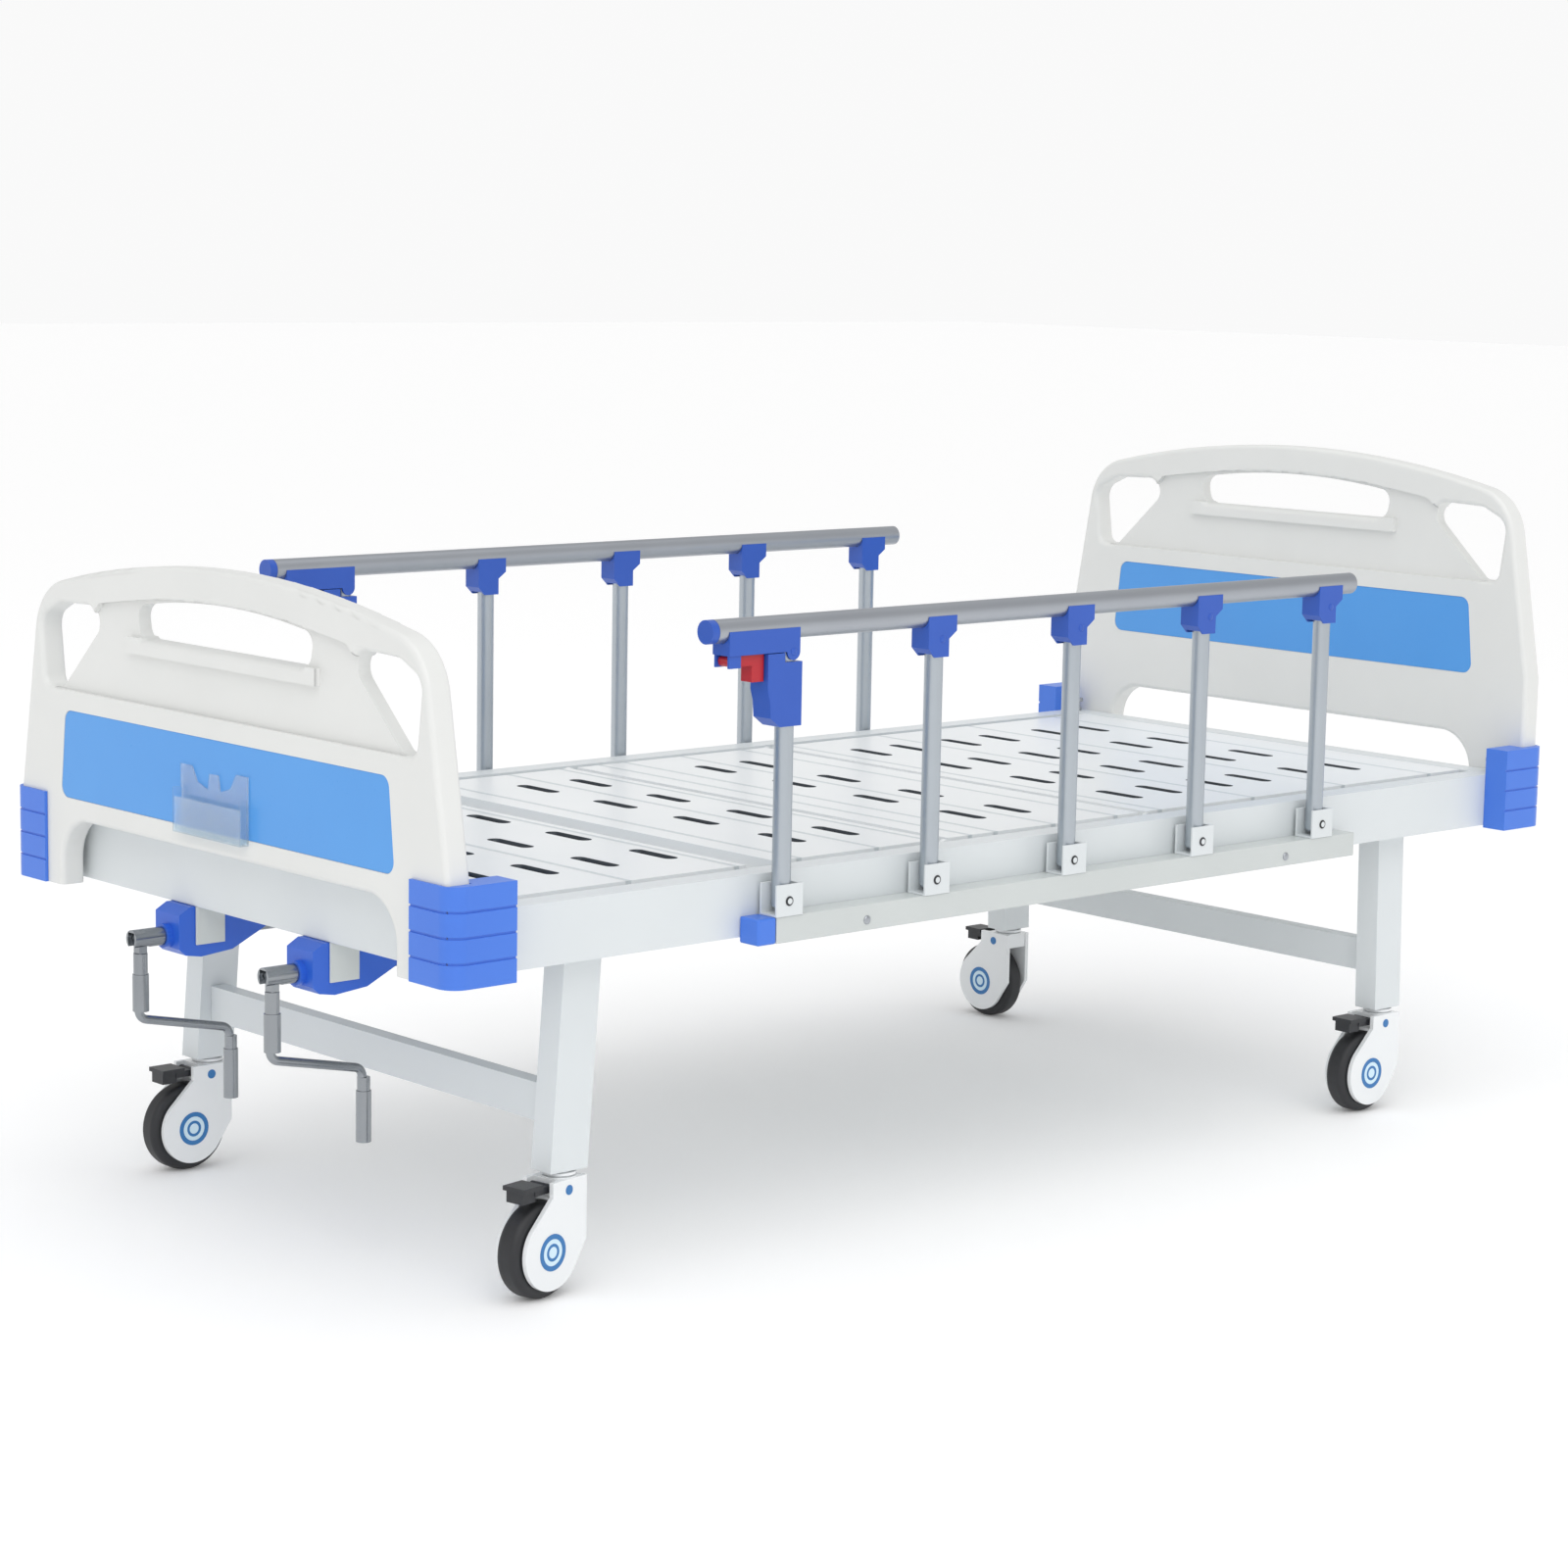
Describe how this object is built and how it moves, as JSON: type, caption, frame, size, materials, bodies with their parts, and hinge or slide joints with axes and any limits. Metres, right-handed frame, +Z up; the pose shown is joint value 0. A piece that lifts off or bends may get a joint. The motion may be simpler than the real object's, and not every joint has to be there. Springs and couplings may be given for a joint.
{
  "type": "adjustable hospital bed",
  "caption": "Crank-operated hospital bed with raising back and knee sections, folding side rails, moulded end boards and braked swivel casters.",
  "frame": {"origin": "bottom centre of the bed's bounding box, on the floor", "axes": "+X towards the head end along the bed's length, +Y towards the far side rail, +Z up"},
  "size_m": [2.18, 1.019, 1.008],
  "materials": {
    "white_powder_coat": "satin white powder coat on steel",
    "board_plastic": "fine-textured warm white moulded ABS",
    "panel_blue": "smooth sky-blue insert sheet",
    "clear_plastic": "clear moulded acrylic",
    "bumper_blue": "bright blue moulded plastic",
    "steel_hardware": "zinc-plated steel",
    "cowl_blue": "deep blue moulded plastic",
    "crank_chrome": "dark chrome plate",
    "rail_aluminium": "satin anodised",
    "bracket_blue": "dark blue moulded nylon",
    "lever_red": "red moulded plastic",
    "caster_white": "glossy white moulded cover",
    "tyre_black": "black polyurethane tread",
    "pedal_black": "black nylon"
  },
  "bodies": {
    "frame": {"side_beams": "white_powder_coat", "end_beams": "white_powder_coat", "cross_tubes": "white_powder_coat", "leg_frames": "white_powder_coat", "seat_deck": "white_powder_coat", "footboard": "board_plastic", "headboard": "board_plastic", "footboard_panels": "panel_blue", "headboard_panels": "panel_blue", "card_holder": "clear_plastic", "corner_bumpers": "bumper_blue", "board_lock_pins": "steel_hardware", "crank_cowls": "cowl_blue", "crank_hangers": "white_powder_coat", "rail_base_bars": "white_powder_coat", "rail_bar_caps": "bumper_blue", "rail_clevises": "white_powder_coat"},
    "back_section": {"back_deck": "white_powder_coat", "back_frame": "white_powder_coat"},
    "thigh": {"thigh_section": "white_powder_coat"},
    "calf": {"calf_section": "white_powder_coat"},
    "back_screw": {"back_screw": "steel_hardware"},
    "leg_screw": {"leg_screw": "steel_hardware"},
    "back_nut": {"back_nut": "steel_hardware"},
    "leg_nut": {"leg_nut": "steel_hardware"},
    "back_crank_hub": {"crank_hub_back": "crank_chrome"},
    "leg_crank_hub": {"crank_hub_leg": "crank_chrome"},
    "back_crank_handle": {"crank_handle_back": "crank_chrome"},
    "leg_crank_handle": {"crank_handle_leg": "crank_chrome"},
    "rail_near_post_1": {"rail_post_near_1": "rail_aluminium", "latch_housing_near": "bracket_blue"},
    "rail_near_post_2": {"rail_post_near_2": "rail_aluminium"},
    "rail_near_post_3": {"rail_post_near_3": "rail_aluminium"},
    "rail_near_post_4": {"rail_post_near_4": "rail_aluminium"},
    "rail_near_post_5": {"rail_post_near_5": "rail_aluminium"},
    "rail_near_tube": {"rail_tube_near": "rail_aluminium", "rail_brackets_near": "bracket_blue"},
    "rail_near_lever": {"release_lever_near": "lever_red"},
    "rail_far_post_1": {"rail_post_far_1": "rail_aluminium", "latch_housing_far": "bracket_blue"},
    "rail_far_post_2": {"rail_post_far_2": "rail_aluminium"},
    "rail_far_post_3": {"rail_post_far_3": "rail_aluminium"},
    "rail_far_post_4": {"rail_post_far_4": "rail_aluminium"},
    "rail_far_post_5": {"rail_post_far_5": "rail_aluminium"},
    "rail_far_tube": {"rail_tube_far": "rail_aluminium", "rail_brackets_far": "bracket_blue"},
    "rail_far_lever": {"release_lever_far": "lever_red"},
    "foot_near_swivel": {"caster_fork_foot_near": "caster_white"},
    "foot_near_wheel": {"caster_wheel_foot_near": "tyre_black"},
    "foot_near_pedal": {"brake_pedal_foot_near": "pedal_black"},
    "foot_far_swivel": {"caster_fork_foot_far": "caster_white"},
    "foot_far_wheel": {"caster_wheel_foot_far": "tyre_black"},
    "foot_far_pedal": {"brake_pedal_foot_far": "pedal_black"},
    "head_near_swivel": {"caster_fork_head_near": "caster_white"},
    "head_near_wheel": {"caster_wheel_head_near": "tyre_black"},
    "head_near_pedal": {"brake_pedal_head_near": "pedal_black"},
    "head_far_swivel": {"caster_fork_head_far": "caster_white"},
    "head_far_wheel": {"caster_wheel_head_far": "tyre_black"},
    "head_far_pedal": {"brake_pedal_head_far": "pedal_black"}
  },
  "joints": [
    {"name": "back_hinge", "type": "hinge", "parent": "frame", "child": "back_section", "pos_m": [0.265, 0, 0.511], "axis": [0, -1, 0], "range_deg": [0, 75]},
    {"name": "thigh_hinge", "type": "hinge", "parent": "frame", "child": "thigh", "pos_m": [-0.145, 0, 0.511], "axis": [0, 1, 0], "range_deg": [0, 40]},
    {"name": "knee_hinge", "type": "hinge", "parent": "thigh", "child": "calf", "pos_m": [-0.478, 0, 0.5], "axis": [0, 1, 0], "range_deg": [-66, 0]},
    {"name": "back_screw_turn", "type": "hinge", "parent": "frame", "child": "back_screw", "pos_m": [0, -0.155, 0.4], "axis": [1, 0, 0], "range_deg": [0, 5762]},
    {"name": "leg_screw_turn", "type": "hinge", "parent": "frame", "child": "leg_screw", "pos_m": [0, 0.155, 0.4], "axis": [-1, 0, 0], "range_deg": [0, 2882]},
    {"name": "back_nut_slide", "type": "slide", "parent": "frame", "child": "back_nut", "axis": [1, 0, 0], "range_m": [0, 0.171]},
    {"name": "leg_nut_slide", "type": "slide", "parent": "frame", "child": "leg_nut", "axis": [-1, 0, 0], "range_m": [0, 0.0812]},
    {"name": "back_crank_turn", "type": "hinge", "parent": "frame", "child": "back_crank_hub", "pos_m": [-1.076, -0.155, 0.4], "axis": [1, 0, 0], "range_deg": [-35, 35]},
    {"name": "back_crank_fold", "type": "hinge", "parent": "back_crank_hub", "child": "back_crank_handle", "pos_m": [-1.076, -0.155, 0.4], "axis": [0, 1, 0], "range_deg": [0, 90]},
    {"name": "leg_crank_turn", "type": "hinge", "parent": "frame", "child": "leg_crank_hub", "pos_m": [-1.076, 0.155, 0.4], "axis": [1, 0, 0], "range_deg": [-35, 35]},
    {"name": "leg_crank_fold", "type": "hinge", "parent": "leg_crank_hub", "child": "leg_crank_handle", "pos_m": [-1.076, 0.155, 0.4], "axis": [0, 1, 0], "range_deg": [0, 90]},
    {"name": "rail_near_fold_1", "type": "hinge", "parent": "frame", "child": "rail_near_post_1", "pos_m": [-0.516, -0.491, 0.488], "axis": [0, -1, 0], "range_deg": [0, 76]},
    {"name": "rail_near_fold_2", "type": "hinge", "parent": "frame", "child": "rail_near_post_2", "pos_m": [-0.25, -0.491, 0.488], "axis": [0, -1, 0], "range_deg": [0, 76]},
    {"name": "rail_near_fold_3", "type": "hinge", "parent": "frame", "child": "rail_near_post_3", "pos_m": [0.016, -0.491, 0.488], "axis": [0, -1, 0], "range_deg": [0, 76]},
    {"name": "rail_near_fold_4", "type": "hinge", "parent": "frame", "child": "rail_near_post_4", "pos_m": [0.282, -0.491, 0.488], "axis": [0, -1, 0], "range_deg": [0, 76]},
    {"name": "rail_near_fold_5", "type": "hinge", "parent": "frame", "child": "rail_near_post_5", "pos_m": [0.548, -0.491, 0.488], "axis": [0, -1, 0], "range_deg": [0, 76]},
    {"name": "rail_near_level", "type": "hinge", "parent": "rail_near_post_1", "child": "rail_near_tube", "pos_m": [-0.516, -0.491, 0.812], "axis": [0, -1, 0], "range_deg": [-76, 0]},
    {"name": "rail_near_release", "type": "hinge", "parent": "rail_near_tube", "child": "rail_near_lever", "pos_m": [-0.614, -0.491, 0.804], "axis": [0, 1, 0], "range_deg": [0, 12], "stiffness_Nm_per_rad": 0.4, "springref_deg": -11.46},
    {"name": "rail_far_fold_1", "type": "hinge", "parent": "frame", "child": "rail_far_post_1", "pos_m": [-0.516, 0.491, 0.488], "axis": [0, -1, 0], "range_deg": [0, 76]},
    {"name": "rail_far_fold_2", "type": "hinge", "parent": "frame", "child": "rail_far_post_2", "pos_m": [-0.25, 0.491, 0.488], "axis": [0, -1, 0], "range_deg": [0, 76]},
    {"name": "rail_far_fold_3", "type": "hinge", "parent": "frame", "child": "rail_far_post_3", "pos_m": [0.016, 0.491, 0.488], "axis": [0, -1, 0], "range_deg": [0, 76]},
    {"name": "rail_far_fold_4", "type": "hinge", "parent": "frame", "child": "rail_far_post_4", "pos_m": [0.282, 0.491, 0.488], "axis": [0, -1, 0], "range_deg": [0, 76]},
    {"name": "rail_far_fold_5", "type": "hinge", "parent": "frame", "child": "rail_far_post_5", "pos_m": [0.548, 0.491, 0.488], "axis": [0, -1, 0], "range_deg": [0, 76]},
    {"name": "rail_far_level", "type": "hinge", "parent": "rail_far_post_1", "child": "rail_far_tube", "pos_m": [-0.516, 0.491, 0.812], "axis": [0, -1, 0], "range_deg": [-76, 0]},
    {"name": "rail_far_release", "type": "hinge", "parent": "rail_far_tube", "child": "rail_far_lever", "pos_m": [-0.614, 0.491, 0.804], "axis": [0, 1, 0], "range_deg": [0, 12], "stiffness_Nm_per_rad": 0.4, "springref_deg": -11.46},
    {"name": "foot_near_swivel", "type": "hinge", "parent": "frame", "child": "foot_near_swivel", "pos_m": [-0.81, -0.406, 0.155], "axis": [0, 0, 1], "continuous": true},
    {"name": "foot_near_roll", "type": "hinge", "parent": "foot_near_swivel", "child": "foot_near_wheel", "pos_m": [-0.84939, -0.41295, 0.0625], "axis": [-0.1736, 0.9848, 0], "continuous": true},
    {"name": "foot_near_brake", "type": "hinge", "parent": "foot_near_swivel", "child": "foot_near_pedal", "pos_m": [-0.8425, -0.41173, 0.142], "axis": [0.1736, -0.9848, 0], "range_deg": [0, 8], "stiffness_Nm_per_rad": 0.6, "springref_deg": -8.59},
    {"name": "foot_far_swivel", "type": "hinge", "parent": "frame", "child": "foot_far_swivel", "pos_m": [-0.81, 0.406, 0.155], "axis": [0, 0, 1], "continuous": true},
    {"name": "foot_far_roll", "type": "hinge", "parent": "foot_far_swivel", "child": "foot_far_wheel", "pos_m": [-0.85, 0.406, 0.0625], "axis": [0, 1, 0], "continuous": true},
    {"name": "foot_far_brake", "type": "hinge", "parent": "foot_far_swivel", "child": "foot_far_pedal", "pos_m": [-0.843, 0.406, 0.142], "axis": [0, -1, 0], "range_deg": [0, 8], "stiffness_Nm_per_rad": 0.6, "springref_deg": -8.59},
    {"name": "head_near_swivel", "type": "hinge", "parent": "frame", "child": "head_near_swivel", "pos_m": [0.824, -0.406, 0.155], "axis": [0, 0, 1], "continuous": true},
    {"name": "head_near_roll", "type": "hinge", "parent": "head_near_swivel", "child": "head_near_wheel", "pos_m": [0.784, -0.406, 0.0625], "axis": [0, 1, 0], "continuous": true},
    {"name": "head_near_brake", "type": "hinge", "parent": "head_near_swivel", "child": "head_near_pedal", "pos_m": [0.791, -0.406, 0.142], "axis": [0, -1, 0], "range_deg": [0, 8], "stiffness_Nm_per_rad": 0.6, "springref_deg": -8.59},
    {"name": "head_far_swivel", "type": "hinge", "parent": "frame", "child": "head_far_swivel", "pos_m": [0.824, 0.406, 0.155], "axis": [0, 0, 1], "continuous": true},
    {"name": "head_far_roll", "type": "hinge", "parent": "head_far_swivel", "child": "head_far_wheel", "pos_m": [0.824, 0.446, 0.0625], "axis": [1, 0, 0], "continuous": true},
    {"name": "head_far_brake", "type": "hinge", "parent": "head_far_swivel", "child": "head_far_pedal", "pos_m": [0.824, 0.439, 0.142], "axis": [-1, 0, 0], "range_deg": [0, 8], "stiffness_Nm_per_rad": 0.6, "springref_deg": -8.59}
  ],
  "couplings": [
    {"joint": "knee_hinge", "follows": "thigh_hinge", "ratio": -1.64},
    {"joint": "back_screw_turn", "follows": "back_hinge", "ratio": 76.8},
    {"joint": "leg_screw_turn", "follows": "thigh_hinge", "ratio": 72},
    {"joint": "back_nut_slide", "follows": "back_hinge", "m_per_rad": 0.1302},
    {"joint": "leg_nut_slide", "follows": "thigh_hinge", "m_per_rad": 0.1157},
    {"joint": "rail_near_fold_2", "follows": "rail_near_fold_1", "ratio": 1},
    {"joint": "rail_near_fold_3", "follows": "rail_near_fold_1", "ratio": 1},
    {"joint": "rail_near_fold_4", "follows": "rail_near_fold_1", "ratio": 1},
    {"joint": "rail_near_fold_5", "follows": "rail_near_fold_1", "ratio": 1},
    {"joint": "rail_near_level", "follows": "rail_near_fold_1", "ratio": -1},
    {"joint": "rail_far_fold_2", "follows": "rail_far_fold_1", "ratio": 1},
    {"joint": "rail_far_fold_3", "follows": "rail_far_fold_1", "ratio": 1},
    {"joint": "rail_far_fold_4", "follows": "rail_far_fold_1", "ratio": 1},
    {"joint": "rail_far_fold_5", "follows": "rail_far_fold_1", "ratio": 1},
    {"joint": "rail_far_level", "follows": "rail_far_fold_1", "ratio": -1}
  ]
}
